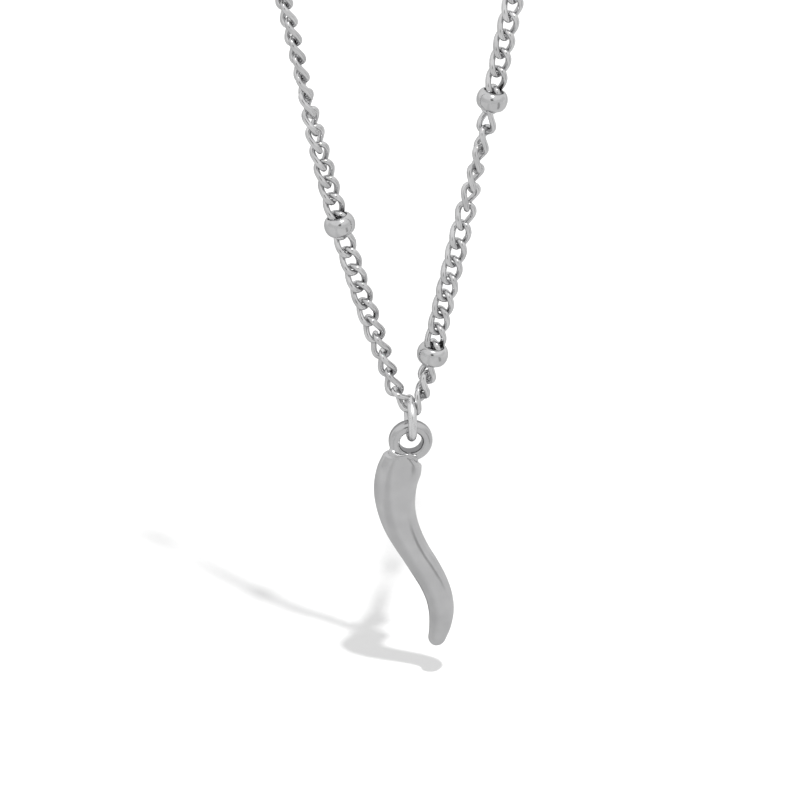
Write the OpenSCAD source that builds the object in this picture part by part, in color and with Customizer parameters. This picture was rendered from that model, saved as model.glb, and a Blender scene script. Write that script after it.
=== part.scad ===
/* [Chain] */
// Distance from one link to the next
link_pitch = 1.88; // [1.87:0.01:1.89]
// Share of that distance on the slacker right side
right_slack = 0.99; // [0.97:0.005:1]
// Thickness of the chain's wire
link_wire = 0.48; // [0.4:0.02:0.5]
// Half length of a link, to the middle of its wire
link_half_length = 1.26; // [1.24:0.01:1.28]
// Half width of a link, to the middle of its wire
link_half_width = 0.78; // [0.74:0.01:0.8]
// How far a link's wire leaves its flat plane
link_twist = 0.37; // [0.35:0.01:0.4]
// Sides of the link's wire
wire_sides = 5; // [5:1:6]
// Sections along one link
link_sections = 12; // [10:1:12]

/* [Beads] */
// Largest diameter of a barrel bead
bead_d = 3.0; // [2.8:0.1:3.2]
// Length of a bead along the chain
bead_length = 1.9; // [1.7:0.1:2.1]
// Diameter of the hole through a bead
bead_bore = 2.26; // [2.2:0.02:2.3]

/* [Jump ring] */
// Radius of the ring, to the middle of its wire
ring_radius = 1.84; // [1.82:0.01:1.86]
// Thickness of the ring's wire
ring_wire = 0.76; // [0.7:0.02:0.78]

/* [Charm] */
// Outer diameter of the eyelet
eyelet_d = 4.2; // [4:0.1:4.4]
// Diameter of the eyelet's hole
eyelet_bore = 2.16; // [2.12:0.02:2.2]
// Thickness of the eyelet
eyelet_t = 1.45; // [1.3:0.05:1.5]
// Depth of the pepper as a share of its width
pepper_depth = 0.8; // [0.7:0.02:0.9]

/* [Clasp] */
// Radius of the clasp's ring, to the middle of its bar
clasp_radius = 2.4; // [2.3:0.05:2.5]
// Thickness of the clasp's bar
clasp_bar = 1.2; // [1.1:0.05:1.2]
// Radius of an end ring, to the middle of its wire
end_ring_radius = 1.3; // [1.28:0.01:1.32]
// Thickness of an end ring's wire
end_ring_wire = 0.56; // [0.5:0.02:0.56]

/* [Hidden] */
$fn = 48;

// The origin is the middle of the clasp at the nape.
// The chain's lowest point lies below it and in front of it.
low_point = [0, -98, -150];

// Points of the chain's two sides, from its lowest joint up and round the neck
// x, y, z from the low point
left_route = [
    [0.28, 0.20, 0.53], [-0.90, 0.28, 2.09], [-1.94, 0.43, 3.76], [-2.42, 0.65, 5.63],
    [-3.65, 1.1, 9.3], [-5.1, 1.8, 14.3], [-6.8, 2.75, 20.5], [-8.97, 4.1, 30],
    [-10.97, 5.7, 40], [-13.7, 7.5, 51], [-18, 10.5, 66], [-24.5, 15, 84],
    [-32.5, 22, 103], [-41, 33, 121], [-48, 47, 135], [-50.5, 63, 143],
    [-47, 79, 147], [-37, 91, 149.5], [-22, 97, 150], [-6.05, 98, 150]];
right_route = [
    [-0.17, -0.32, 0.51], [0.67, 0.32, 1.82], [1.78, -0.37, 3.24], [1.82, -0.49, 5.08],
    [2.86, 0.3, 9.3], [3.95, 0.6, 14], [5.5, 1.2, 20.5], [7.75, 2.1, 30],
    [9.95, 3.3, 40], [12.7, 5, 51], [17.3, 8.7, 66], [24, 14, 84],
    [32, 22, 103], [41, 33, 121], [48, 47, 135], [50.5, 63, 143],
    [47, 79, 147], [37, 91, 149.5], [22, 97, 150], [3.86, 98, 150]];
// Joints that lie on the route's first points
set_joints = 3;
// Neck's upright axis, seen from the low point: y
neck_axis_y = 60;
steps_per_span = 12;

// Links are numbered from the bottom: -1, -2 up the left side, 0, 1 up the right
left_links = 126;
right_links = 128;
// Links that are modelled one by one
first_link = -24;
last_link = 30;
// Turn of the chain's face about its run: link, roll
face_roll = [
    [-127, 0], [-34, 0], [-28, 60], [-24, 75], [-19, 75], [-14, 25], [-10, 5],
    [-7, 5], [-6, 12], [-5, 18], [-4, 30], [-3, 52], [-2, 53], [-1, 41], [0, 146],
    [1, 156], [2, 153], [3, 153], [4, 158], [5, 165], [6, 175], [10, 180], [11, 200], [12, 225],
    [13, 245], [14, 258], [15, 285], [16, 315], [17, 340], [18, 360], [128, 360]];

// One link in every fourteen carries a bead
bead_step = 14;
first_bead = -123;

// Tube that stands for the chain's hidden stretch
back_tube_r = 1.02;
back_tube_sides = 8;
tube_steps_per_bead = 5;
// Room between a tube's end and the nearest joint of a link, in links
tube_gap = 0.35;

// Middle of the jump ring, from the low point
ring_middle = [0.07, 0.2, -0.96];
// Drop from the middle of the ring's lowest wire to the middle of the eyelet's hole
eyelet_drop = 0.56;
eyelet_edge = 0.34;
hole_edge = 0.3;
nub_r = 0.27;
nub_place = [-1.85, -0.78, -0.5];

// Pepper's cross sections, from the eyelet down: x, z, half width
pepper_sections = [
    [-0.75, -1.85, 1.86], [-1.05, -3.0, 2.08], [-1.38, -4.3, 2.06], [-1.52, -5.7, 1.95],
    [-1.41, -7.3, 1.77], [-1.04, -8.9, 1.64], [-0.40, -10.5, 1.54], [0.40, -12.1, 1.45],
    [1.32, -13.7, 1.36], [2.12, -15.35, 1.29], [2.70, -17.0, 1.24], [2.92, -18.6, 1.16],
    [2.82, -20.1, 1.03], [2.56, -21.25, 0.86]];
pepper_sides = 24;
cap_steps = 5;
top_cap = 0.75;
tip_cap = 0.95;

// Small eye fixed to the clasp, and where the end rings hang
clasp_eye_r = 0.9;
clasp_eye_wire = 0.7;
clasp_eye_x = -3.75;
left_ring_x = clasp_eye_x - end_ring_radius;
right_ring_x = 2.72;

function unit(v) = v / norm(v);

// Smooth curve through a route's points
function at(list, i) = list[max(0, min(len(list) - 1, i))];
function curve_point(p, q, r, s, t) =
    (2 * q + (r - p) * t + (2 * p - 5 * q + 4 * r - s) * t * t + (3 * q - p - 3 * r + s) * t * t * t) / 2;
function smooth(route) = concat([for (i = [0:len(route) - 2], k = [0:steps_per_span - 1])
    curve_point(at(route, i - 1), route[i], route[i + 1], at(route, i + 2), k / steps_per_span)],
    [route[len(route) - 1]]);
function running(line) = [for (i = 0, s = 0; i < len(line);
    s = s + (i + 1 < len(line) ? norm(line[i + 1] - line[i]) : 0), i = i + 1) s];
function table(line) = let (s = running(line)) [for (axis = [0:2])
    [for (i = [0:len(line) - 1]) [s[i], line[i][axis]]]];
function along(curve, s) = [for (axis = [0:2]) lookup(s, curve[axis])];
function last_key(curve) = curve[0][len(curve[0]) - 1][0];

left_curve = table(smooth(left_route));
right_curve = table(smooth(right_route));

// Joints between links: on the route's first points, then at an even pitch, and the rest shared out above
function joint(curve, number, pitch, near, count) =
    let (total = last_key(curve),
        set = curve[0][set_joints * steps_per_span][0],
        low = set + (near - set_joints) * pitch)
    along(curve, number <= set_joints ? curve[0][number * steps_per_span][0]
        : number <= near ? set + (number - set_joints) * pitch
        : low + (number - near) * (total - low) / (count - near));
function left_joint(n) = joint(left_curve, n, link_pitch, -first_link + 1, left_links);
function right_joint(n) = joint(right_curve, n, link_pitch * right_slack, last_link + 1, right_links);

// A link's frame: middle, run, face, side
function ends(k) = k < 0 ? [left_joint(-k), left_joint(-k - 1)] : [right_joint(k), right_joint(k + 1)];
function outward(p) = unit([p[0], p[1] - neck_axis_y, 0]);
function link_frame(k) = let (
        e = ends(k),
        run = unit(e[1] - e[0]),
        middle = (e[0] + e[1]) / 2,
        out = outward(middle),
        flat = unit(out - run * (out * run)),
        roll = lookup(k, face_roll),
        face = flat * cos(roll) + cross(run, flat) * sin(roll))
    [middle, run, face, cross(face, run)];

// Middle line of a curb link, and the wire round it
function link_line(f, t) = f[0] + f[1] * link_half_length * cos(t)
    + f[3] * link_half_width * sin(t) - f[2] * link_twist * sin(2 * t);
function link_points(f) = [for (i = [0:link_sections - 1])
    let (t = i * 360 / link_sections, here = link_line(f, t),
        run = unit(link_line(f, t + 1) - link_line(f, t - 1)),
        a = unit(cross(run, f[2])), b = cross(a, run))
    for (j = [0:wire_sides - 1]) let (q = j * 360 / wire_sides)
        here + (a * cos(q) + b * sin(q)) * link_wire / 2];
function ring_faces(rings, sides, start) = [for (i = [0:rings - 1], j = [0:sides - 1])
    let (a = start + i * sides, b = start + ((i + 1) % rings) * sides, k = (j + 1) % sides)
    each [[a + j, b + j, b + k], [a + j, b + k, a + k]]];

function is_bead(k) = (k - first_bead) % bead_step == 0;
real_links = concat([-left_links], [for (k = [first_link:last_link]) k], [right_links - 1]);

module chain_links() {
    size = link_sections * wire_sides;
    color([0.74, 0.74, 0.74]) translate(low_point)
        polyhedron(points = [for (k = real_links) each link_points(link_frame(k))],
            faces = [for (i = [0:len(real_links) - 1]) each ring_faces(link_sections, wire_sides, i * size)]);
}

// A tube along one side, from joint to joint, closed at both ends
module back_tube(first, last) {
    stops = floor((last - first) * tube_steps_per_bead / bead_step + 0.5);
    line = [for (i = [0:stops]) let (k = first + (last - first) * i / stops)
        k < 0 ? left_joint(-k) : right_joint(k)];
    runs = [for (i = [0:stops]) unit(at(line, i + 1) - at(line, i - 1))];
    points = [for (i = [0:stops]) let (a = unit(cross([0, 0, 1], runs[i])), b = cross(runs[i], a))
        for (j = [0:back_tube_sides - 1]) let (q = (j + 0.5) * 360 / back_tube_sides)
            line[i] + (a * cos(q) + b * sin(q)) * back_tube_r];
    walls = [for (i = [0:stops - 1], j = [0:back_tube_sides - 1])
        let (a = i * back_tube_sides, b = a + back_tube_sides, k = (j + 1) % back_tube_sides)
        each [[a + j, b + j, b + k], [a + j, b + k, a + k]]];
    start = [for (j = [0:back_tube_sides - 1]) j];
    end = [for (j = [back_tube_sides - 1:-1:0]) stops * back_tube_sides + j];
    color([0.74, 0.74, 0.74]) translate(low_point)
        polyhedron(points = points, faces = concat(walls, [start, end]));
}

module chain_back_left() {
    back_tube(-left_links + 1 + tube_gap, first_link - tube_gap);
}

module chain_back_right() {
    back_tube(last_link + 1 + tube_gap, right_links - 1 - tube_gap);
}

module bead(number) {
    f = link_frame(first_bead + (number - 1) * bead_step);
    run = f[1];
    color([0.72, 0.72, 0.72]) translate(low_point + f[0])
        rotate([0, acos(run[2]), atan2(run[1], run[0])]) difference() {
            intersection() {
                sphere(d = bead_d);
                cube([bead_d + 1, bead_d + 1, bead_length], center = true);
            }
            cylinder(d = bead_bore, h = bead_d, center = true);
        }
}

module torus(radius, wire) {
    rotate_extrude() translate([radius, 0]) circle(d = wire);
}

module jump_ring() {
    color([0.82, 0.82, 0.82]) translate(low_point + ring_middle)
        rotate([0, 90, 0]) torus(ring_radius, ring_wire);
}

// Pepper as one closed skin: a rounded head, the sections and a rounded tip
function section_run(i) = let (a = at(pepper_sections, i - 1), b = at(pepper_sections, i + 1))
    unit([b[0] - a[0], 0, b[1] - a[1]]);
function section_place(i) = [pepper_sections[i][0], 0, pepper_sections[i][1]];
function section_ring(place, run, half) = let (side = [-run[2], 0, run[0]])
    [for (j = [0:pepper_sides - 1]) let (q = j * 360 / pepper_sides)
        place + side * half * cos(q) + [0, half * pepper_depth * sin(q), 0]];
function cap_ring(i, run, height, step) = let (q = step * 90 / cap_steps)
    section_ring(section_place(i) + run * height * sin(q), section_run(i), pepper_sections[i][2] * cos(q));

module pepper() {
    last = len(pepper_sections) - 1;
    head = -section_run(0);
    tail = section_run(last);
    rings = concat(
        [for (s = [cap_steps - 1:-1:1]) cap_ring(0, head, top_cap, s)],
        [for (i = [0:last]) section_ring(section_place(i), section_run(i), pepper_sections[i][2])],
        [for (s = [1:cap_steps - 1]) cap_ring(last, tail, tip_cap, s)]);
    count = len(rings);
    top = count * pepper_sides;
    walls = [for (i = [0:count - 2], j = [0:pepper_sides - 1])
        let (a = i * pepper_sides, b = a + pepper_sides, k = (j + 1) % pepper_sides)
        each [[a + j, b + k, b + j], [a + j, a + k, b + k]]];
    head_fan = [for (j = [0:pepper_sides - 1]) [top, (j + 1) % pepper_sides, j]];
    tail_fan = [for (j = [0:pepper_sides - 1]) let (a = top - pepper_sides)
        [top + 1, a + j, a + (j + 1) % pepper_sides]];
    polyhedron(points = concat([for (ring = rings) each ring],
            [section_place(0) + head * top_cap, section_place(last) + tail * tip_cap]),
        faces = concat(walls, head_fan, tail_fan));
}

// Flat disc with rounded edges, lying on its side
module eyelet_disc() {
    inner = eyelet_t / 2 - eyelet_edge;
    rotate([90, 0, 0]) rotate_extrude() union() {
        translate([0, -eyelet_t / 2]) square([eyelet_d / 2 - eyelet_edge, eyelet_t]);
        translate([0, -inner]) square([eyelet_d / 2, inner * 2]);
        translate([eyelet_d / 2 - eyelet_edge, inner]) circle(r = eyelet_edge);
        translate([eyelet_d / 2 - eyelet_edge, -inner]) circle(r = eyelet_edge);
    }
}

module charm() {
    color([0.71, 0.71, 0.71])
        translate(low_point + ring_middle - [0, 0, ring_radius + eyelet_drop]) difference() {
            union() {
                eyelet_disc();
                pepper();
                translate(nub_place) sphere(r = nub_r);
            }
            rotate([90, 0, 0]) cylinder(d = eyelet_bore, h = eyelet_d, center = true);
            for (turn = [-90, 90]) rotate([turn, 0, 0]) translate([0, 0, eyelet_t / 2 - hole_edge])
                cylinder(r1 = eyelet_bore / 2, r2 = eyelet_bore / 2 + 2 * hole_edge, h = 2 * hole_edge);
        }
}

module clasp() {
    color([0.72, 0.72, 0.72]) rotate([90, 0, 0]) union() {
        torus(clasp_radius, clasp_bar);
        translate([clasp_eye_x, 0, 0]) torus(clasp_eye_r, clasp_eye_wire);
    }
}

module end_ring(x) {
    color([0.76, 0.76, 0.76]) translate([x, 0, 0]) torus(end_ring_radius, end_ring_wire);
}

module end_ring_left() {
    end_ring(left_ring_x);
}

module end_ring_right() {
    end_ring(right_ring_x);
}

chain_links();
chain_back_left();
chain_back_right();
bead(1);  // bead_01
bead(2);  // bead_02
bead(3);  // bead_03
bead(4);  // bead_04
bead(5);  // bead_05
bead(6);  // bead_06
bead(7);  // bead_07
bead(8);  // bead_08
bead(9);  // bead_09
bead(10);  // bead_10
bead(11);  // bead_11
bead(12);  // bead_12
bead(13);  // bead_13
bead(14);  // bead_14
bead(15);  // bead_15
bead(16);  // bead_16
bead(17);  // bead_17
bead(18);  // bead_18
jump_ring();
charm();
clasp();
end_ring_left();
end_ring_right();
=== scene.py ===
import bpy
import math
from mathutils import Matrix, Vector


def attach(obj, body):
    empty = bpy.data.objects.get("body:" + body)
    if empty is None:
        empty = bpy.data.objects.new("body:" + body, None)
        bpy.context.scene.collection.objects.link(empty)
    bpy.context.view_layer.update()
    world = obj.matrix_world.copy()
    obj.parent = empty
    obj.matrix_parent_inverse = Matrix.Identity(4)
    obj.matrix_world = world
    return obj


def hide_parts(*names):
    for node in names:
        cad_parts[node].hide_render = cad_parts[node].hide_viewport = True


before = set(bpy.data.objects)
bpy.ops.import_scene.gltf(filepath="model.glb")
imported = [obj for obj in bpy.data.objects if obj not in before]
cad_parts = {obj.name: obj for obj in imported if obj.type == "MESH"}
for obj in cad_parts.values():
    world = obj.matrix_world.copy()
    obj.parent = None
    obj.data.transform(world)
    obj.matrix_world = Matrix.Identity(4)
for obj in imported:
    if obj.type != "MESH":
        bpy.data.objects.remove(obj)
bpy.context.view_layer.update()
scene = bpy.context.scene
mm = 0.001

# Places shared by every piece, in millimetres; the origin is the middle of the clasp
lowPoint = Vector((0, -98, -150))         # where the chain's two sides meet
neckAxisY = 60                            # the neck's upright axis, behind the low point
ringMiddle = Vector((0.07, 0.2, -0.96))   # from the low point
eyeletMiddle = lowPoint + Vector((0.07, 0.2, -3.36))
floorHeight = -178.9


def meshObject(name, points, faces, smooth=True):
    mesh = bpy.data.meshes.new(name)
    mesh.from_pydata([tuple(p) for p in points], [], faces)
    mesh.update()
    if smooth:
        mesh.shade_smooth()
    piece = bpy.data.objects.new(name, mesh)
    scene.collection.objects.link(piece)
    return piece


# Turns whatever the modifiers make into a plain mesh in a fresh object
def bakeModifiers(piece, name, scale=1.0):
    shown = piece.evaluated_get(bpy.context.evaluated_depsgraph_get())
    mesh = bpy.data.meshes.new_from_object(shown)
    mesh.name = name
    mesh.transform(Matrix.Scale(scale, 4))
    old = piece.data
    bpy.data.objects.remove(piece)
    if old.users == 0:
        bpy.data.meshes.remove(old)
    baked = bpy.data.objects.new(name, mesh)
    scene.collection.objects.link(baked)
    return baked


def volumeOf(mesh):
    mesh.calc_loop_triangles()
    total = 0.0
    for tri in mesh.loop_triangles:
        a, b, c = (mesh.vertices[i].co for i in tri.vertices)
        total += a.dot(b.cross(c)) / 6
    return total


# A socket that can be used in plain expressions, in shader and geometry trees alike
class Signal:
    def __init__(self, tree, socket):
        self.tree = tree
        self.socket = socket

    def maths(self, operation, *values):
        return addNode(self.tree, "ShaderNodeMath", {"operation": operation}, values)

    def __add__(self, other): return self.maths("ADD", self, other)
    def __radd__(self, other): return self.maths("ADD", other, self)
    def __sub__(self, other): return self.maths("SUBTRACT", self, other)
    def __rsub__(self, other): return self.maths("SUBTRACT", other, self)
    def __mul__(self, other): return self.maths("MULTIPLY", self, other)
    def __rmul__(self, other): return self.maths("MULTIPLY", other, self)
    def __truediv__(self, other): return self.maths("DIVIDE", self, other)
    def __rtruediv__(self, other): return self.maths("DIVIDE", other, self)
    def __pow__(self, other): return self.maths("POWER", self, other)

    # X, Y and Z of a vector
    def axes(self):
        split = addNode(self.tree, "ShaderNodeSeparateXYZ", None, [self]).socket.node
        return [Signal(self.tree, part) for part in split.outputs]


# One way to add any node: its type, its settings, then the values or links of its sockets
def addNode(tree, kind, settings=None, values=(), output=0):
    node = tree.nodes.new(kind)
    for key, value in (settings or {}).items():
        if key == "stops":
            while len(node.color_ramp.elements) < len(value):
                node.color_ramp.elements.new(1.0)
            for stop, (place, shade) in zip(node.color_ramp.elements, value):
                stop.position = place
                stop.color = (shade, shade, shade, 1)
        else:
            setattr(node, key, value)
    pairs = values.items() if isinstance(values, dict) else enumerate(values)
    for key, value in pairs:
        if isinstance(value, Signal):
            tree.links.new(value.socket, node.inputs[key])
        elif value is not None:
            node.inputs[key].default_value = value
    return Signal(tree, node.outputs[output]) if node.outputs else None


cameraView = {
    "azimuth": -7.0,       # degrees round the object
    "elevation": 28.0,     # degrees above the horizon
    "distance": 3.0,       # metres to the low point
    "fieldWidth": 0.07597, # metres across the picture at the low point
    "aimRight": -0.00095,  # where the picture's middle lies from the low point
    "aimUp": 0.00095,
    "sensorWidth": 36,
    "clipStart": 0.1,
}


def makeCamera(v):
    a, e = math.radians(v["azimuth"]), math.radians(v["elevation"])
    back = Vector((math.sin(a) * math.cos(e), -math.cos(a) * math.cos(e), math.sin(e)))
    right = Vector((math.cos(a), math.sin(a), 0))
    up = back.cross(right)
    aim = lowPoint * mm + right * v["aimRight"] + up * v["aimUp"]
    data = bpy.data.cameras.new("camera")
    data.sensor_width = v["sensorWidth"]
    data.lens = v["sensorWidth"] * v["distance"] / v["fieldWidth"]
    data.clip_start = v["clipStart"]
    camera = bpy.data.objects.new("camera", data)
    camera.location = aim + back * v["distance"]
    camera.rotation_euler = (-back).to_track_quat("-Z", "Y").to_euler()
    scene.collection.objects.link(camera)
    scene.camera = camera
    return back


cameraBack = makeCamera(cameraView)
print("camera is in place")


chainRoute = {
    # points of the two sides from the lowest joint up, in millimetres from the low point
    "left": [(0.13, 0.62, 0.03), (-1.25, 1.03, 1.55), (-1.88, 1.36, 3.5), (-2.44, 1.43, 5.45),
             (-3.6, 1.4, 9.14), (-5.1, 1.8, 14.3), (-6.8, 2.75, 20.5), (-8.97, 4.1, 30),
             (-10.97, 5.7, 40), (-13.7, 7.5, 51), (-18, 10.5, 66), (-24.5, 15, 84),
             (-32.5, 22, 103), (-41, 33, 121), (-48, 47, 135), (-50.5, 63, 143),
             (-47, 79, 147), (-37, 91, 149.5), (-22, 97, 150), (-6.05, 98, 150)],
    "right": [(0.51, 0.16, -0.02), (1.28, 0.55, 1.65), (1.65, 0.45, 3.32), (2.04, 0.44, 4.81),
              (2.86, 0.3, 9.3), (3.95, 0.6, 14), (5.5, 1.2, 20.5), (7.75, 2.1, 30),
              (9.95, 3.3, 40), (12.7, 5, 51), (17.3, 8.7, 66), (24, 14, 84),
              (32, 22, 103), (41, 33, 121), (48, 47, 135), (50.5, 63, 143),
              (47, 79, 147), (37, 91, 149.5), (22, 97, 150), (3.86, 98, 150)],
    # turn of a link's face about its run: link, degrees; links up the left are below zero
    "roll": [(-127, 0), (-34, 0), (-29, -80), (-24, -122), (-22, -120), (-20, -110), (-19, -100),
             (-18, -86), (-17, -69), (-16, -57), (-15, -48), (-14, -38), (-13, -25), (-12, -14),
             (-10, -5), (-8, -4), (-7, -3), (-6, 8), (-5, 25), (-4, 46), (-3, 58), (-2, 57), (-1, 52),
             (0, 69), (1, 87), (2, 109), (3, 147), (4, 158), (5, 159), (6, 157), (7, 158),
             (8, 166), (9, 168), (10, 172), (11, 193), (12, 216), (13, 231), (14, 240), (15, 262),
             (16, 292), (17, 322), (18, 350), (20, 352), (21, 353), (22, 358), (24, 360), (128, 360)],
    "steps": 12,
    "setJoints": 3,        # joints that lie on the route's first points
    "pitchLeft": 1.88,
    "pitchRight": 1.88 * 0.99,
    "evenLeft": 25,        # joints at an even pitch from the bottom
    "evenRight": 31,
    # how far joints are slid up the line: joint, millimetres
    "slideLeft": [(3, 0), (4, 0.1), (5, 0.15), (6, 0.15), (8, 0.08), (9, 0.04), (11, 0.08),
                  (12, 0.05), (14, -0.25), (18, -0.5), (20, -0.6), (24, -0.6), (34, 0)],
    "slideRight": [(3, 0), (5, -0.1), (6, -0.2), (7, -0.27), (8, -0.38), (9, -0.45), (10, -0.47),
                   (11, -0.4), (12, -0.25), (13, -0.12), (14, -0.02), (15, 0.1), (16, 0.25),
                   (17, 0.45), (18, 0.6), (24, 0.6), (40, 0)],
    "linksLeft": 126,
    "linksRight": 128,
}


def lookUp(pairs, x):
    if x <= pairs[0][0]:
        return pairs[0][1]
    for (x0, y0), (x1, y1) in zip(pairs, pairs[1:]):
        if x <= x1:
            return y0 + (y1 - y0) * (x - x0) / (x1 - x0)
    return pairs[-1][1]


def curvePoint(p, q, r, s, t):
    return (2 * q + (r - p) * t + (2 * p - 5 * q + 4 * r - s) * t * t
            + (3 * q - p - 3 * r + s) * t * t * t) / 2


def smoothLine(route, steps):
    line = []
    last = len(route) - 1
    for i in range(last):
        p, q, r, s = (route[max(0, min(last, i + n))] for n in (-1, 0, 1, 2))
        line += [curvePoint(p, q, r, s, k / steps) for k in range(steps)]
    return line + [route[last]]


# Pairs of length along the line and point, for looking points up by their distance
def byLength(route, steps):
    line = smoothLine([Vector(p) for p in route], steps)
    run, pairs = 0.0, []
    for i, p in enumerate(line):
        if i:
            run += (p - line[i - 1]).length
        pairs.append((run, p))
    return pairs


leftCurve = byLength(chainRoute["left"], chainRoute["steps"])
rightCurve = byLength(chainRoute["right"], chainRoute["steps"])


def jointPlace(curve, number, pitch, even, count, slide):
    steps, first = chainRoute["steps"], chainRoute["setJoints"]
    if number <= first:
        return curve[number * steps][1]
    total, start = curve[-1][0], curve[first * steps][0]
    slid = lookUp(slide, number)
    if number <= even:
        return lookUp(curve, start + (number - first) * pitch + slid)
    low = start + (even - first) * pitch
    return lookUp(curve, low + (number - even) * (total - low) / (count - even) + slid)


def leftJoint(n):
    return jointPlace(leftCurve, n, chainRoute["pitchLeft"], chainRoute["evenLeft"],
                      chainRoute["linksLeft"], chainRoute["slideLeft"])


def rightJoint(n):
    return jointPlace(rightCurve, n, chainRoute["pitchRight"], chainRoute["evenRight"],
                      chainRoute["linksRight"], chainRoute["slideRight"])


# Middle of a link and the turn that lays its run, side and face along X, Y and Z
def linkFrame(k):
    a, b = (leftJoint(-k), leftJoint(-k - 1)) if k < 0 else (rightJoint(k), rightJoint(k + 1))
    run, middle = (b - a).normalized(), (a + b) / 2
    out = Vector((middle.x, middle.y - neckAxisY, 0)).normalized()
    flat = (out - run * out.dot(run)).normalized()
    roll = math.radians(lookUp(chainRoute["roll"], k))
    face = flat * math.cos(roll) + run.cross(flat) * math.sin(roll)
    side = face.cross(run)
    turn = Matrix((run, side, face)).transposed().to_quaternion()
    return lowPoint + middle, turn


class Finish:
    def __init__(self, name):
        self.material = bpy.data.materials.new(name)
        self.material.use_nodes = True
        self.tree = self.material.node_tree
        self.tree.nodes.clear()
        self.coords = addNode(self.tree, "ShaderNodeTexCoord", output="Object")

    # Noise from 0 to 1 on the object's own coordinates, stretched by the scale given for each axis
    def noise(self, size, stretch=(1, 1, 1), detail=3.0, roughness=0.5):
        place = addNode(self.tree, "ShaderNodeMapping", {"vector_type": "POINT"},
                        {"Vector": self.coords, "Scale": stretch})
        return addNode(self.tree, "ShaderNodeTexNoise", {"noise_dimensions": "3D"},
                       {"Vector": place, "Scale": 1 / (size * mm), "Detail": detail, "Roughness": roughness})

    # The way from a point given in metres, as X, Y and Z in millimetres
    def wayFrom(self, point):
        away = addNode(self.tree, "ShaderNodeVectorMath", {"operation": "SUBTRACT"},
                       {0: self.coords, 1: point})
        return addNode(self.tree, "ShaderNodeVectorMath", {"operation": "SCALE"},
                       {0: away, "Scale": 1 / mm}).axes()

    # Low where the signal is at start, high where it is at end, and even between
    def spread(self, signal, low, high, start=0.3, end=0.7):
        return addNode(self.tree, "ShaderNodeMapRange", {"clamp": True},
                       {"Value": signal, "From Min": start, "From Max": end, "To Min": low, "To Max": high})

    def tint(self, factor, dark, light):
        ends = [c if isinstance(c, Signal) else (*c, 1) for c in (dark, light)]
        return addNode(self.tree, "ShaderNodeMix", {"data_type": "RGBA"},
                       {"Factor": factor, 6: ends[0], 7: ends[1]}, output=2)

    def bump(self, height, strength, distance, below=None):
        values = {"Height": height, "Strength": strength, "Distance": distance * mm}
        if below:
            values["Normal"] = below
        return addNode(self.tree, "ShaderNodeBump", None, values)

    def metal(self, colour, roughness, normal, **fixed):
        values = {"Base Color": colour, "Metallic": 1.0, "Roughness": roughness, "Normal": normal}
        values.update(fixed)
        shader = addNode(self.tree, "ShaderNodeBsdfPrincipled", None, values)
        addNode(self.tree, "ShaderNodeOutputMaterial", None, {"Surface": shader})
        return self.material


pitLook = {"noise": (0.18, 0.34), "darken": 0.5, "roughen": 0.08}


# Steel with soft clouding, fine polishing marks and a faint unevenness left by the casting or the bending;
# where a mask is given, painted shade darkens it
def steelFinish(name, look, paintedShade=None):
    f = Finish(name)
    cloud = f.noise(look["cloudSize"], detail=2.0)
    marks = f.noise(look["markSize"], look["markStretch"], detail=4.0, roughness=0.6)
    pits = f.noise(look["pitSize"], detail=2.0)
    darkSpots = f.spread(pits, 1.0, 0.0, *pitLook["noise"])
    lightness = f.spread(cloud, 0.0, 1.0) * (1 - pitLook["darken"] * darkSpots)
    colour = f.tint(lightness, look["dark"], look["light"])
    # painted shade: the colour is drawn towards a darker one where the given mask is high
    if paintedShade:
        colour = f.tint(paintedShade(f), colour, look["paintedShadeColour"])
    rough = f.spread(marks, *look["rough"]) + pitLook["roughen"] * darkSpots
    waves = f.bump(cloud, look["waveStrength"], look["waveHeight"])
    fine = f.bump(marks, look["markStrength"], look["markHeight"], waves)
    edge = look["edge"]
    return f.metal(colour, rough, fine, **{"Specular Tint": (edge, edge, edge, 1)})


# Where the painted shade starts and ends, in millimetres from the middle of the eyelet's hole
eyeletPaintedShadeLook = {
    "holeReach": (1.1, 1.28), "holeDepth": (-0.72, -0.5),
    "rimReach": (1.85, 1.95), "rimDepth": (-0.3, 0.0), "rimHeight": (-0.6, 0.4),
}


# Painted shade in the eyelet's hole, and a painted dark reflection along the upper back of its rim
def eyeletPaintedShade(f):
    v = eyeletPaintedShadeLook
    x, y, z = f.wayFrom(eyeletMiddle * mm)
    reach = (x * x + z * z) ** 0.5
    hole = f.spread(reach, 1.0, 0.0, *v["holeReach"]) * f.spread(y, 0.0, 1.0, *v["holeDepth"])
    rim = f.spread(reach, 0.0, 1.0, *v["rimReach"]) * f.spread(y, 0.0, 1.0, *v["rimDepth"])
    rim = rim * f.spread(z, 0.0, 1.0, *v["rimHeight"])
    return hole.maths("MAXIMUM", hole, rim)


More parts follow.
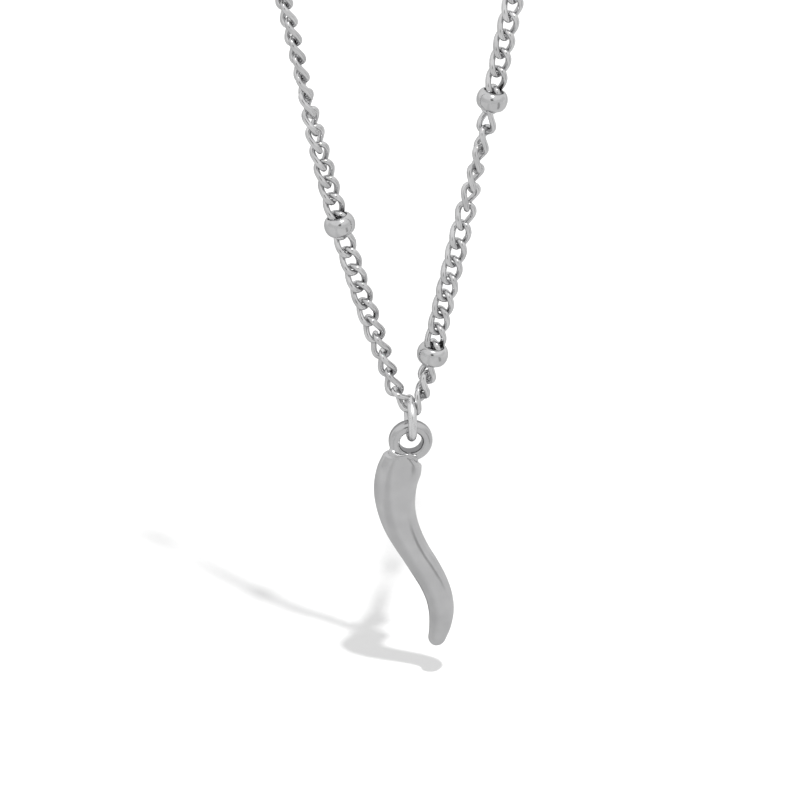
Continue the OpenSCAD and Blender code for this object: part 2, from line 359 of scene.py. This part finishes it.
finishes = {
    "chain": {"dark": (0.55, 0.55, 0.555), "light": (0.74, 0.74, 0.745), "rough": (0.04, 0.10), "edge": 0.38,
              "cloudSize": 1.6, "markSize": 0.22, "markStretch": (1, 1, 0.35), "pitSize": 0.3,
              "waveStrength": 0.25, "waveHeight": 0.03, "markStrength": 0.12, "markHeight": 0.004},
    "bead": {"dark": (0.53, 0.53, 0.535), "light": (0.65, 0.65, 0.655), "rough": (0.11, 0.18), "edge": 0.7,
             "cloudSize": 1.4, "markSize": 0.25, "markStretch": (1, 1, 0.3), "pitSize": 0.35,
             "waveStrength": 0.2, "waveHeight": 0.03, "markStrength": 0.12, "markHeight": 0.004},
    "ring": {"dark": (0.69, 0.69, 0.695), "light": (0.77, 0.77, 0.775), "rough": (0.25, 0.34), "edge": 0.45,
             "cloudSize": 1.5, "markSize": 0.2, "markStretch": (0.3, 1, 1), "pitSize": 0.35,
             "waveStrength": 0.2, "waveHeight": 0.03, "markStrength": 0.12, "markHeight": 0.004},
    "charm": {"dark": (0.51, 0.51, 0.515), "light": (0.60, 0.60, 0.605), "rough": (0.13, 0.2), "edge": 0.8,
              # colour of the painted shade in the eyelet's hole and of the painted dark reflection on its rim
              "paintedShadeColour": (0.26, 0.26, 0.265),
              "cloudSize": 2.6, "markSize": 0.3, "markStretch": (1, 1, 0.22), "pitSize": 0.4,
              "waveStrength": 0.3, "waveHeight": 0.08, "markStrength": 0.10, "markHeight": 0.005},
}
chainSteel = steelFinish("chainSteel", finishes["chain"])
beadSteel = steelFinish("beadSteel", finishes["bead"])
ringSteel = steelFinish("ringSteel", finishes["ring"])
# the charm's steel carries painted shade in the eyelet's hole and a painted dark reflection on its rim
charmSteel = steelFinish("charmSteel", finishes["charm"], eyeletPaintedShade)
print("finishes are mixed")


class Tree:
    def __init__(self, name, inputs):
        self.group = bpy.data.node_groups.new(name, "GeometryNodeTree")
        face = self.group.interface
        face.new_socket("Geometry", in_out="INPUT", socket_type="NodeSocketGeometry")
        for label, kind in inputs:
            face.new_socket(label, in_out="INPUT", socket_type="NodeSocket" + kind)
        face.new_socket("Geometry", in_out="OUTPUT", socket_type="NodeSocketGeometry")
        self.inside = addNode(self.group, "NodeGroupInput").socket.node

    def given(self, label):
        return Signal(self.group, self.inside.outputs[label])

    def add(self, kind, settings=None, values=()):
        return addNode(self.group, kind, settings, values)

    def circle(self, sections, radius):
        return self.add("GeometryNodeCurvePrimitiveCircle", {"mode": "RADIUS"},
                        {"Resolution": sections, "Radius": radius})

    # Round wire swept along a closed curve
    def wireAlong(self, curve):
        wire = self.circle(self.given("Sides"), self.given("Wire") * 0.5)
        return self.add("GeometryNodeCurveToMesh", None, {"Curve": curve, "Profile Curve": wire})

    # Shape set on every point, turned by the point's own attribute, then made real and painted
    def finishOnPoints(self, shape):
        turn = self.add("GeometryNodeInputNamedAttribute", {"data_type": "QUATERNION"}, {"Name": "turn"})
        placed = self.add("GeometryNodeInstanceOnPoints", None,
                          {"Points": self.given("Geometry"), "Instance": shape, "Rotation": turn})
        real = self.add("GeometryNodeRealizeInstances", None, {"Geometry": placed})
        soft = self.add("GeometryNodeSetShadeSmooth", None, {"Geometry": real})
        painted = self.add("GeometryNodeSetMaterial", None,
                           {"Geometry": soft, "Material": self.given("Finish")})
        self.add("NodeGroupOutput", None, [painted])


# Sets a modifier's inputs by the identifiers of their sockets
def useTree(piece, tree, values):
    modifier = piece.modifiers.new(tree.group.name, "NODES")
    modifier.node_group = tree.group
    for item in tree.group.interface.items_tree:
        if item.item_type == "SOCKET" and item.in_out == "INPUT" and item.name in values:
            modifier[item.identifier] = values[item.name]


# A curb link: an oval of round wire whose two ends are twisted out of its plane
def makeLinkTree():
    t = Tree("curbLink", [("Half Length", "Float"), ("Half Width", "Float"), ("Twist", "Float"),
                          ("Wire", "Float"), ("Sections", "Int"), ("Sides", "Int"), ("Finish", "Material")])
    x, y = t.add("GeometryNodeInputPosition").axes()[:2]
    bent = t.add("ShaderNodeCombineXYZ", None,
                 {"X": x * t.given("Half Length"), "Y": y * t.given("Half Width"),
                  "Z": x * y * t.given("Twist") * -2.0})
    oval = t.add("GeometryNodeSetPosition", None,
                 {"Geometry": t.circle(t.given("Sections"), 1.0), "Position": bent})
    t.finishOnPoints(t.wireAlong(oval))
    return t


# A round bar bent into a ring, lying in the XY plane of each point
def makeHoopTree():
    t = Tree("roundHoop", [("Radius", "Float"), ("Wire", "Float"), ("Sections", "Int"), ("Sides", "Int"),
                           ("Finish", "Material")])
    t.finishOnPoints(t.wireAlong(t.circle(t.given("Sections"), t.given("Radius"))))
    return t


# A barrel bead from a flat grid: one way round the hole, the other round its wall
def makeBeadTree():
    t = Tree("barrelBead", [("Diameter", "Float"), ("Length", "Float"), ("Bore", "Float"),
                            ("Fullness", "Float"), ("Mouth Width", "Float"), ("Mouth Height", "Float"),
                            ("Sides", "Int"), ("Wall Steps", "Int"), ("Finish", "Material")])
    sheet = t.add("GeometryNodeMeshGrid", None,
                  {"Size X": 1.0, "Size Y": 1.0, "Vertices X": t.given("Sides") + 1,
                   "Vertices Y": t.given("Wall Steps") + 1})
    around, wall = (axis * (2 * math.pi) for axis in t.add("GeometryNodeInputPosition").axes()[:2])
    outer, bore, length = t.given("Diameter") * 0.5, t.given("Bore") * 0.5, t.given("Length")
    c, s = wall.maths("COSINE", wall), wall.maths("SINE", wall)
    a, b = around.maths("COSINE", around), around.maths("SINE", around)
    wide, high = a / t.given("Mouth Width"), b / t.given("Mouth Height")
    mouth = 0.5 / (wide * wide + high * high) ** 0.5
    out = c.maths("SIGN", c) * c.maths("ABSOLUTE", c) ** t.given("Fullness") * 0.5 + 0.5
    tall = s.maths("SIGN", s) * s.maths("ABSOLUTE", s) ** t.given("Fullness") * length * 0.5
    crown = (outer * outer - tall * tall) ** 0.5
    inner = bore + (mouth - bore) * (tall * tall * 4.0 / (length * length))
    r = inner + (crown - inner) * out
    put = t.add("ShaderNodeCombineXYZ", None, {"X": tall, "Y": r * a, "Z": r * b})
    rolled = t.add("GeometryNodeSetPosition", None, {"Geometry": sheet, "Position": put})
    closed = t.add("GeometryNodeMergeByDistance", None, {"Geometry": rolled, "Distance": 0.0001})
    t.finishOnPoints(closed)
    return t


linkTree = makeLinkTree()
hoopTree = makeHoopTree()
beadTree = makeBeadTree()


# Points that carry a turn each, in millimetres
def framePoints(name, places):
    piece = meshObject(name, [p for p, turn in places], [], smooth=False)
    turns = piece.data.attributes.new("turn", "QUATERNION", "POINT")
    for i, (p, turn) in enumerate(places):
        turns.data[i].value = tuple(turn)
    return piece


def growOnPoints(name, tree, places, values):
    piece = framePoints(name, places)
    useTree(piece, tree, values)
    piece = bakeModifiers(piece, name, mm)
    if volumeOf(piece.data) < 0:
        piece.data.flip_normals()
    return piece


chainLook = {
    "halfLength": 1.25, "halfWidth": 0.75, "twist": 0.37, "wire": 0.58,
    "nearSections": 36, "nearSides": 14,      # links that the picture shows
    "farSections": 14, "farSides": 6,         # links round the neck
    "firstNear": -24, "lastNear": 30,
}


def makeChain(v):
    shape = {"Half Length": v["halfLength"], "Half Width": v["halfWidth"], "Twist": v["twist"],
             "Wire": v["wire"], "Finish": chainSteel}
    near = [linkFrame(k) for k in range(v["firstNear"], v["lastNear"] + 1)]
    far = [linkFrame(k) for k in range(-chainRoute["linksLeft"], v["firstNear"])]
    far += [linkFrame(k) for k in range(v["lastNear"] + 1, chainRoute["linksRight"])]
    front = growOnPoints("chain_front", linkTree, near,
                         {**shape, "Sections": v["nearSections"], "Sides": v["nearSides"]})
    back = growOnPoints("chain_neck", linkTree, far,
                        {**shape, "Sections": v["farSections"], "Sides": v["farSides"]})
    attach(front, "chain")
    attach(back, "chain")
    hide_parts("chain_links")
    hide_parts("chain_back_left", "chain_back_right")


makeChain(chainLook)
print("chain is linked")


beadLook = {
    "diameter": 3.0, "length": 1.82, "bore": 2.14, "mouthWidth": 1.74, "mouthHeight": 1.3, "fullness": 0.62,
    "sides": 40, "wallSteps": 36, "firstLink": -123, "every": 14, "count": 18,
}


def makeBeads(v):
    places = [linkFrame(v["firstLink"] + v["every"] * n) for n in range(v["count"])]
    beads = growOnPoints("beads", beadTree, places,
                         {"Diameter": v["diameter"], "Length": v["length"], "Bore": v["bore"],
                          "Mouth Width": v["mouthWidth"], "Mouth Height": v["mouthHeight"],
                          "Fullness": v["fullness"], "Sides": v["sides"], "Wall Steps": v["wallSteps"],
                          "Finish": beadSteel})
    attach(beads, "chain")
    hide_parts(*[f"bead_{n + 1:02d}" for n in range(v["count"])])


makeBeads(beadLook)
print("beads are threaded")


hoopLook = {"sections": 72, "sides": 24}
ringLook = {"radius": 1.84, "wire": 0.83}
claspLook = {"radius": 2.4, "bar": 1.2, "eyeRadius": 0.9, "eyeWire": 0.7, "eyeX": -3.75,
             "endRadius": 1.3, "endWire": 0.56, "rightX": 2.72}
facingX = Vector((1, 0, 0)).to_track_quat("Z", "Y")
facingY = Vector((0, -1, 0)).to_track_quat("Z", "X")
facingZ = Matrix.Identity(3).to_quaternion()


def makeHoop(name, places, radius, wire, finish, body, nodes):
    hoop = growOnPoints(name, hoopTree, places,
                        {"Radius": radius, "Wire": wire, "Sections": hoopLook["sections"],
                         "Sides": hoopLook["sides"], "Finish": finish})
    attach(hoop, body)
    if nodes:
        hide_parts(*nodes)


makeHoop("ring", [(lowPoint + ringMiddle, facingX)], ringLook["radius"], ringLook["wire"], ringSteel,
         "jump_ring", ["jump_ring"])
makeHoop("clasp_ring", [(Vector((0, 0, 0)), facingY)], claspLook["radius"], claspLook["bar"], beadSteel,
         "chain", ["clasp"])
makeHoop("clasp_eye", [(Vector((claspLook["eyeX"], 0, 0)), facingY)], claspLook["eyeRadius"],
         claspLook["eyeWire"], beadSteel, "chain", [])
makeHoop("end_rings", [(Vector((claspLook["eyeX"] - claspLook["endRadius"], 0, 0)), facingZ),
                       (Vector((claspLook["rightX"], 0, 0)), facingZ)],
         claspLook["endRadius"], claspLook["endWire"], beadSteel,
         "chain", ["end_ring_left", "end_ring_right"])
print("rings are bent")


charmLook = {
    # middle line x, z, half width, half depth and squareness, from the eyelet's middle down
    "sections": [(-0.8, -1.85, 1.92, 1.34, 2.1), (-1.08, -3.0, 2.12, 1.45, 2.1),
                 (-1.39, -4.3, 2.08, 1.51, 2.05), (-1.49, -5.7, 1.99, 1.52, 2.0),
                 (-1.35, -7.3, 1.82, 1.42, 2.0), (-0.96, -8.9, 1.67, 1.32, 2.0),
                 (-0.32, -10.5, 1.52, 1.24, 2.0), (0.48, -12.1, 1.41, 1.17, 2.0),
                 (1.35, -13.7, 1.40, 1.1, 2.0), (2.17, -15.35, 1.35, 1.04, 2.0),
                 (2.74, -17.0, 1.29, 1.0, 2.0), (2.96, -18.6, 1.21, 0.93, 2.0),
                 (2.85, -20.1, 1.06, 0.82, 2.0), (2.58, -21.3, 0.87, 0.69, 2.0)],
    "sides": 96, "steps": 6, "capSteps": 12, "topCap": 0.75, "tipCap": 1.0, "lipDepth": 0.96,
    # rounded edge along the head's top, from the small lobe on the left: x, y, z, radius
    "lip": [(-1.86, -0.46, -0.9, 0.36), (-1.52, -0.92, -1.02, 0.23), (-0.94, -1.1, -1.08, 0.22),
            (-0.36, -1.08, -0.98, 0.22), (0.11, -1.06, -1.22, 0.21), (0.42, -0.98, -1.58, 0.17),
            (0.56, -0.86, -1.86, 0.12)],
    "lipSteps": 7,
    # drop of the right shoulder over a plain oval: x, drop
    "shoulder": [(-0.2, 0.0), (0.1, 0.08), (0.48, 0.45), (0.64, 0.65), (0.8, 0.7), (1.2, 0.6)],
    "shoulderStart": -4.0, "shoulderRise": 2.1,  # height where the drop starts, and over which it grows
    "backShare": [(-4.3, 1.0), (-1.85, 0.58)],   # depth of the back over the front's: z, share
    "eyeletRadius": 2.1, "bore": 1.08, "thick": 1.45, "outerEdge": 0.58, "boreEdge": 0.36,
    "eyeletSides": 96, "edgeSteps": 6,
    "voxel": 0.075, "smoothFactor": 0.5, "smoothRounds": 7,
}


def pepperShell(v):
    line = smoothLine([Vector(s[:3]) for s in v["sections"]], v["steps"])
    form = smoothLine([Vector(s[3:]) for s in v["sections"]], v["steps"])
    runs = []
    for i in range(len(line)):
        a, b = line[max(0, i - 1)], line[min(len(line) - 1, i + 1)]
        runs.append(Vector((b.x - a.x, 0, b.y - a.y)).normalized())
    rings = []

    def ring(i, ahead, share, deep):
        middle = Vector((line[i].x, 0, line[i].y)) + runs[i] * ahead
        side = Vector((-runs[i].z, 0, runs[i].x))
        half, depth, power = line[i].z * share, form[i].x * deep, 2 / form[i].y
        around = []
        for j in range(v["sides"]):
            q = 2 * math.pi * (j + 0.5) / v["sides"]
            c, s = math.cos(q), math.sin(q)
            p = middle + side * half * math.copysign(abs(c) ** power, c)
            p.y = depth * math.copysign(abs(s) ** power, s)
            if p.y > 0:
                p.y *= lookUp(v["backShare"], p.z)
            grown = max(0, min(1, (p.z - v["shoulderStart"]) / v["shoulderRise"]))
            p.z -= lookUp(v["shoulder"], p.x) * grown
            around.append(p)
        return around

    for s in range(v["capSteps"] - 1, 0, -1):
        q = s * math.pi / 2 / v["capSteps"]
        deep = 1 - (1 - v["lipDepth"]) * math.sin(q)
        rings.append(ring(0, -v["topCap"] * math.sin(q), math.cos(q), deep))
    rings += [ring(i, 0, 1, 1) for i in range(len(line))]
    for s in range(1, v["capSteps"]):
        q = s * math.pi / 2 / v["capSteps"]
        rings.append(ring(len(line) - 1, v["tipCap"] * math.sin(q), math.cos(q), math.cos(q)))
    points = [p for r in rings for p in r]
    n, top = v["sides"], len(points)
    points.append(Vector((line[0].x, 0, line[0].y)) - runs[0] * v["topCap"])
    points.append(Vector((line[-1].x, 0, line[-1].y)) + runs[-1] * v["tipCap"])
    faces = [(i * n + j, i * n + (j + 1) % n, (i + 1) * n + (j + 1) % n, (i + 1) * n + j)
             for i in range(len(rings) - 1) for j in range(n)]
    faces += [(top, (j + 1) % n, j) for j in range(n)]
    faces += [(top + 1, top - n + j, top - n + (j + 1) % n) for j in range(n)]
    return points, faces


# Wall of the eyelet as a closed outline in radius and depth, turned about the hole's axis
def eyeletShell(v):
    half, outline = v["thick"] / 2, []
    corners = [(v["eyeletRadius"], half, v["outerEdge"], 0), (v["bore"], half, v["boreEdge"], 90),
               (v["bore"], -half, v["boreEdge"], 180), (v["eyeletRadius"], -half, v["outerEdge"], 270)]
    for r, y, edge, start in corners:
        inR = -1 if r == v["eyeletRadius"] else 1
        inY = -1 if y > 0 else 1
        for k in range(v["edgeSteps"] + 1):
            q = math.radians(start + 90 * k / v["edgeSteps"])
            outline.append((r + inR * edge + edge * math.cos(q), y + inY * edge + edge * math.sin(q)))
    points, faces, turns, n = [], [], v["eyeletSides"], len(outline)
    for i in range(turns):
        q = 2 * math.pi * i / turns
        points += [Vector((r * math.cos(q), y, r * math.sin(q))) for r, y in outline]
    for i in range(turns):
        for j in range(n):
            a, b, k = i * n, ((i + 1) % turns) * n, (j + 1) % n
            faces.append((a + j, a + k, b + k, b + j))
    return points, faces


def ballShell(middle, radius, rows=10, sides=14):
    points = [middle + Vector((0, 0, radius))]
    for i in range(1, rows):
        q = math.pi * i / rows
        for j in range(sides):
            p = 2 * math.pi * j / sides
            way = Vector((math.sin(q) * math.cos(p), math.sin(q) * math.sin(p), math.cos(q)))
            points.append(middle + radius * way)
    points.append(middle - Vector((0, 0, radius)))
    faces = [(0, 1 + j, 1 + (j + 1) % sides) for j in range(sides)]
    for i in range(rows - 2):
        a, b = 1 + i * sides, 1 + (i + 1) * sides
        faces += [(a + j, b + j, b + (j + 1) % sides, a + (j + 1) % sides) for j in range(sides)]
    last = len(points) - 1
    faces += [(last, last - sides + (j + 1) % sides, last - sides + j) for j in range(sides)]
    return points, faces


def makeCharm(v):
    points, faces = [], []
    shells = [pepperShell(v), eyeletShell(v)]
    lipLine = smoothLine([Vector(p) for p in v["lip"]], v["lipSteps"])
    shells += [ballShell(Vector(p[:3]), p[3]) for p in lipLine]
    for shellPoints, shellFaces in shells:
        start = len(points)
        shell = meshObject("shell", shellPoints, shellFaces)
        flip = volumeOf(shell.data) < 0
        bpy.data.objects.remove(shell)
        points += shellPoints
        faces += [tuple(start + i for i in (reversed(f) if flip else f)) for f in shellFaces]
    charm = meshObject("charm_cast", points, faces)
    joined = charm.modifiers.new("joined", "REMESH")
    joined.mode = "VOXEL"
    joined.voxel_size = v["voxel"]
    joined.use_smooth_shade = True
    rounded = charm.modifiers.new("rounded", "SMOOTH")
    rounded.factor = v["smoothFactor"]
    rounded.iterations = v["smoothRounds"]
    charm = bakeModifiers(charm, "charm_cast")
    charm.data.transform(Matrix.Translation(eyeletMiddle))
    charm.data.transform(Matrix.Scale(mm, 4))
    charm.data.materials.append(charmSteel)
    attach(charm, "charm")
    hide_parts("charm")
    print("charm is cast:", len(charm.data.polygons), "faces")


makeCharm(charmLook)


studioLook = {
    "floorSize": 0.8, "floorShade": 0.8, "floorRough": 0.9,
    "grainSize": 0.6, "grainShade": 0.01, "grainStrength": 0.05, "grainHeight": 0.05,
    "mirroredShade": 0.52,   # the floor as the metal sees it
    "mirroredSide": 0.04,    # how much brighter it is at the back right, and darker at the back left
    "sideFade": (-0.2, 0.4),
    # dark strips on the floor at the front right and left, seen only in the metal's reflections, where they
    # paint dark bands
    "strips": [
        {"start": (17.3, 0.0), "heading": (0.64, -0.768), "reach": (26, 44), "width": 4.0, "spread": 0.13,
         "edge": (0.8, 1.2), "shade": 0.55},
        {"start": (-4.0, 4.0), "heading": (-0.5, -0.866), "reach": (0, 6), "width": 9.0, "spread": 0.1,
         "edge": (0.4, 1.2), "shade": 0.86},
    ],
    "sunFrom": (2.46, -7.0, 21.0), "sunPower": 2.2, "sunAngle": 3.2,
    # brightness of the room's parts, and of the white that the camera sees
    "top": 0.95, "horizon": 0.75, "left": 0.72, "lens": 0.1, "white": 1.1,
    # where each part starts and is full, on a ball of radius 1 round the piece
    "topEdge": (0.25, 0.55), "leftEdge": (-0.75, -0.92), "backEdge": (0.1, 0.5), "lensEdge": (0.975, 0.988),
}


# Share of the mirrored floor's brightness that the dark strips leave
def stripShade(f, x, y, strips):
    share = 1.0
    for strip in strips:
        (startX, startY), (alongX, alongY) = strip["start"], strip["heading"]
        along = (x - startX) * alongX + (y - startY) * alongY
        across = (x - startX) * alongY - (y - startY) * alongX
        width = along.maths("MAXIMUM", along, 0.0) * strip["spread"] + strip["width"]
        aside = across.maths("ABSOLUTE", across) / width
        dark = f.spread(aside, 1.0, 0.0, *strip["edge"]) * f.spread(along, 0.0, 1.0, *strip["reach"])
        share = (1 - dark * (1 - strip["shade"])) * share
    return share


def makeFloor(v):
    h, z = v["floorSize"], floorHeight * mm
    corners = [(-h, -h, z), (h, -h, z), (h, h, z), (-h, h, z)]
    floor = meshObject("floor", corners, [(0, 1, 2, 3)], smooth=False)
    f = Finish("palePaper")
    grain = f.noise(v["grainSize"], detail=2.0)
    colour = f.tint(grain, (v["floorShade"] - v["grainShade"],) * 3, (v["floorShade"] + v["grainShade"],) * 3)
    paper = addNode(f.tree, "ShaderNodeBsdfPrincipled", None,
                    {"Base Color": colour, "Roughness": v["floorRough"], "Specular IOR Level": 0.0,
                     "Normal": f.bump(grain, v["grainStrength"], v["grainHeight"])})
    x, y = f.wayFrom((0, lowPoint.y * mm, z))[:2]
    reach = (x * x + y * y) ** 0.5 + 1.0     # never zero
    side = v["mirroredSide"] * (x / reach) * f.spread(y / reach, 0.0, 1.0, *v["sideFade"])
    # painted dark reflections: the floor that only the metal's reflections see is darker than the paper, and
    # darker still in the strips
    dim = (v["mirroredShade"] + side) * stripShade(f, x, y, v["strips"])
    mirrored = addNode(f.tree, "ShaderNodeBsdfDiffuse", None, {"Color": dim})
    glossy = addNode(f.tree, "ShaderNodeLightPath", output="Is Glossy Ray")
    shader = addNode(f.tree, "ShaderNodeMixShader", None, {"Fac": glossy, 1: paper, 2: mirrored})
    addNode(f.tree, "ShaderNodeOutputMaterial", None, {"Surface": shader})
    floor.data.materials.append(f.material)


def makeKeyLight(v):
    light = bpy.data.lights.new("keyLight", "SUN")
    light.energy = v["sunPower"]
    light.angle = math.radians(v["sunAngle"])
    lamp = bpy.data.objects.new("keyLight", light)
    lamp.rotation_euler = Vector(v["sunFrom"]).to_track_quat("Z", "Y").to_euler()
    scene.collection.objects.link(lamp)


# White ceiling and back wall, a dim room in front, and the lens as a small dark spot
def makeRoom(v):
    world = bpy.data.worlds.new("studio")
    scene.world = world
    world.use_nodes = True
    tree = world.node_tree
    tree.nodes.clear()
    x, y, z = addNode(tree, "ShaderNodeTexCoord", output="Generated").axes()

    def ramp(signal, edge, low, high):
        return addNode(tree, "ShaderNodeMapRange", {"interpolation_type": "SMOOTHSTEP", "clamp": True},
                       {"Value": signal, "From Min": edge[0], "From Max": edge[1],
                        "To Min": low, "To Max": high})

    low = v["horizon"] + ramp(x, v["leftEdge"], 0.0, v["left"] - v["horizon"])
    low = low + ramp(y, v["backEdge"], 0.0, 1.0) * (v["top"] - low)
    room = low + ramp(z, v["topEdge"], 0.0, 1.0) * (v["top"] - low)
    toLens = x * cameraBack.x + y * cameraBack.y + z * cameraBack.z
    room = room + ramp(toLens, v["lensEdge"], 0.0, 1.0) * (v["lens"] - room)
    sky = addNode(tree, "ShaderNodeBackground", None, {"Color": room, "Strength": 1.0})
    white = addNode(tree, "ShaderNodeBackground", None, {"Color": (1, 1, 1, 1), "Strength": v["white"]})
    seen = addNode(tree, "ShaderNodeLightPath", output="Is Camera Ray")
    mixed = addNode(tree, "ShaderNodeMixShader", None, {"Fac": seen, 1: sky, 2: white})
    addNode(tree, "ShaderNodeOutputWorld", None, {"Surface": mixed})
    scene.view_settings.view_transform = "Standard"


makeFloor(studioLook)
makeKeyLight(studioLook)
makeRoom(studioLook)
print("studio is lit")
